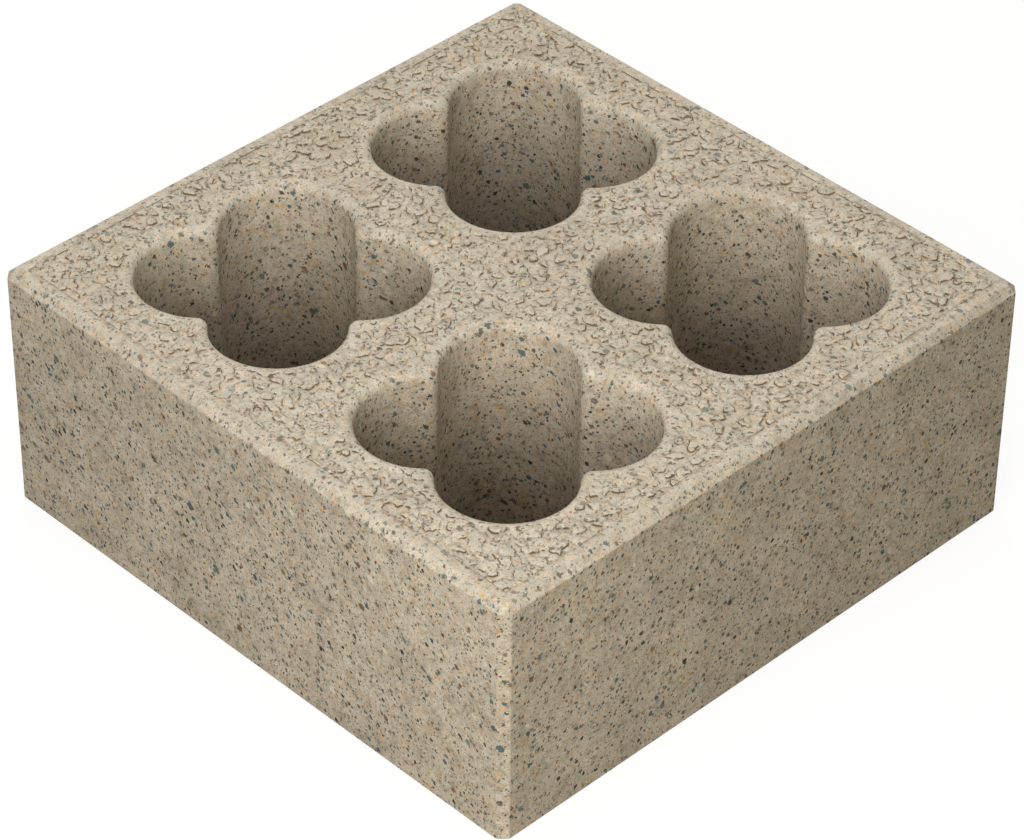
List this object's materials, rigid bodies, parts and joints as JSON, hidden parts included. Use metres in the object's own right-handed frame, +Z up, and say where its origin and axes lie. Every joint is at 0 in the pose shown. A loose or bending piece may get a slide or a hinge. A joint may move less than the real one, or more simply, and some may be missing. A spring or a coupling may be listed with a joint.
{
  "type": "concrete planter block",
  "caption": "Square cast concrete block with chamfered edges and a grid of quatrefoil openings that run through it for soil and plants.",
  "frame": {"origin": "centre of the square base", "axes": "+Z up through the openings, out of the face with the rounded rims; +X and +Y square to the side faces"},
  "size_m": [0.395, 0.395, 0.16],
  "materials": {
    "concrete": "matt buff concrete with fine mixed grit, cobbled on the upper face and smooth on the sides"
  },
  "bodies": {
    "root": {"planter_block": "concrete"}
  },
  "joints": []
}
